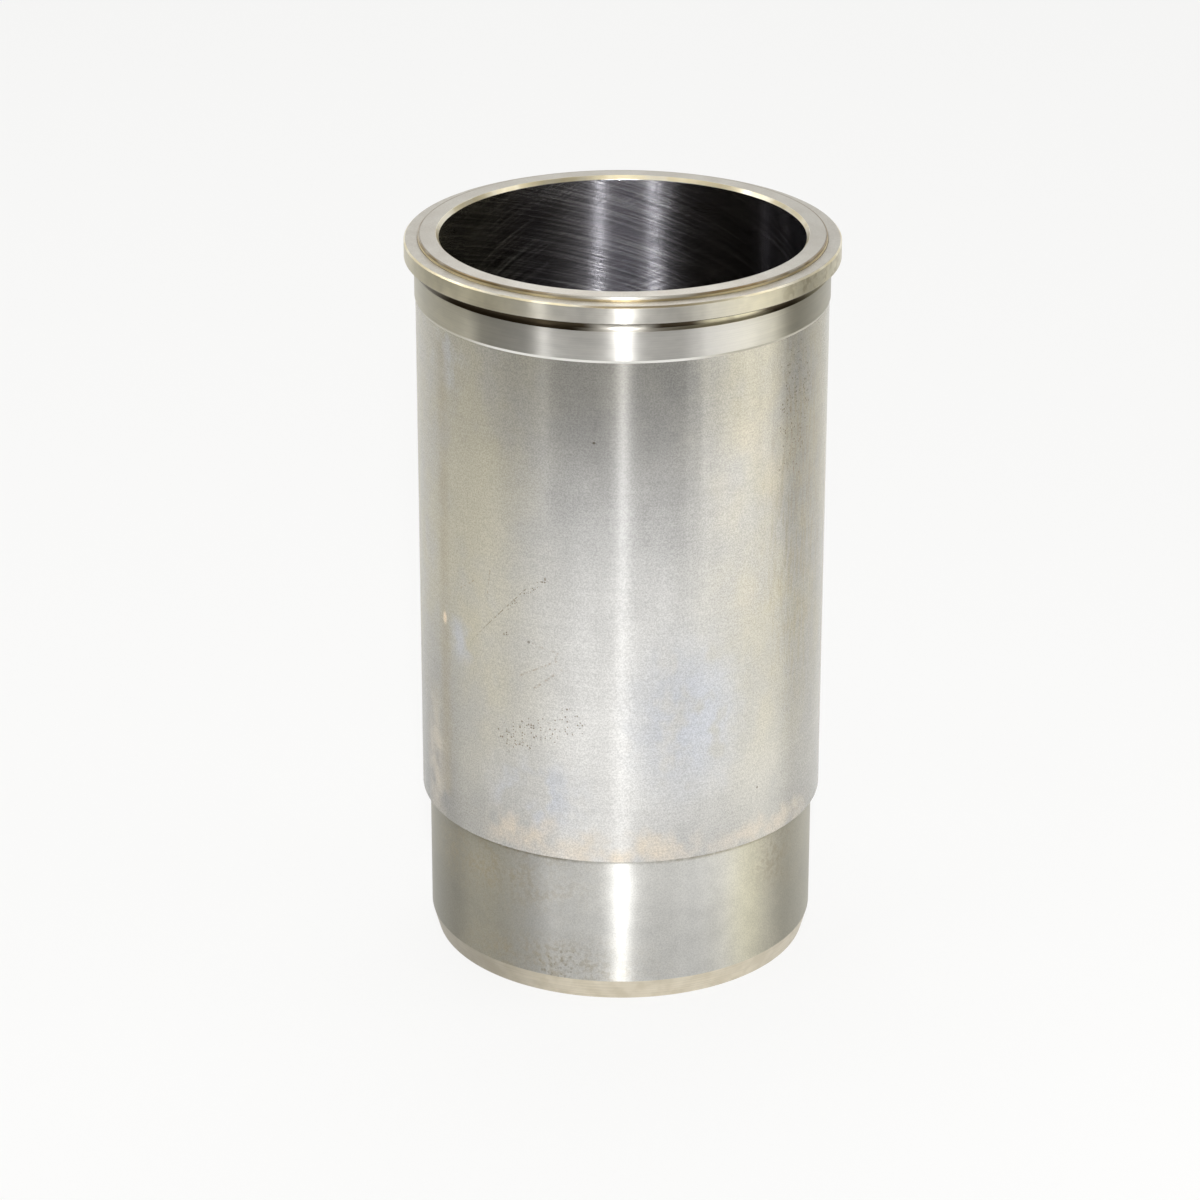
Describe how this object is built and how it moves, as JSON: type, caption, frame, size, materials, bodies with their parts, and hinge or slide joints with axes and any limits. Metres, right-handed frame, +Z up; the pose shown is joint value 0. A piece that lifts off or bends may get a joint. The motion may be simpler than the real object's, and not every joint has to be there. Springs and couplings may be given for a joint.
{
  "type": "cylinder liner",
  "caption": "Straight open cylinder with a honed bore, a flanged top with a low fire ring and relief groove, and a stepped-down lower end with a long lead-in chamfer.",
  "frame": {"origin": "centre of the bottom end face", "axes": "+Z up along the bore axis towards the flange and fire ring; +X and +Y are any two directions square to it"},
  "size_m": [0.127, 0.127, 0.221],
  "materials": {
    "turned_iron": "turned and ground grey iron, satin, lightly oiled, with a honed bore"
  },
  "bodies": {
    "root": {"liner": "turned_iron"}
  },
  "joints": []
}
